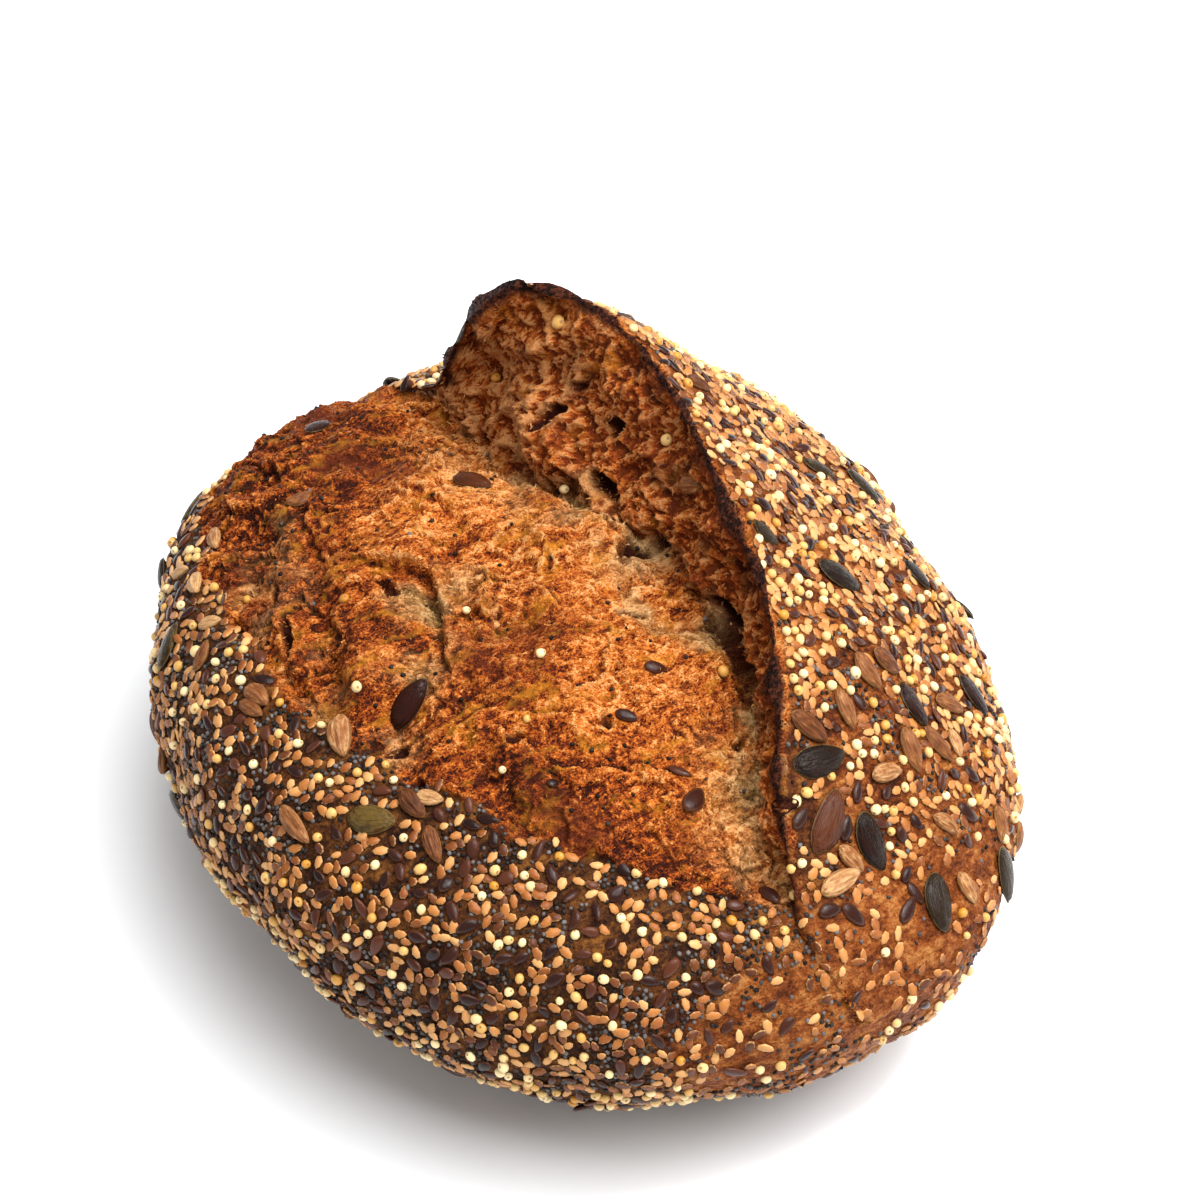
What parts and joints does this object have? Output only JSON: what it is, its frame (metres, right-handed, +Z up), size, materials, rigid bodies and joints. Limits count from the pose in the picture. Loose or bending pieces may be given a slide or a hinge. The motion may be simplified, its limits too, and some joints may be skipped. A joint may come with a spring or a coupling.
{
  "type": "seeded sourdough loaf",
  "caption": "Oval seeded sourdough loaf, torn open along one slash with a tall crusty ear, on a flat baked base.",
  "frame": {"origin": "on the flat base, under the middle of the loaf", "axes": "+Z up, +X along the slash towards the tip where it starts, +Y towards the side of the ear"},
  "size_m": [0.211, 0.1731, 0.1185],
  "materials": {
    "crust": "matte",
    "torn_crumb": "matte",
    "sesame_seed": "satin",
    "millet_grain": "satin",
    "poppy_seed": "matte",
    "flax_seed": "gloss",
    "sunflower_kernel": "satin",
    "pumpkin_kernel": "satin"
  },
  "bodies": {
    "root": {"loaf": "crust"}
  },
  "joints": []
}
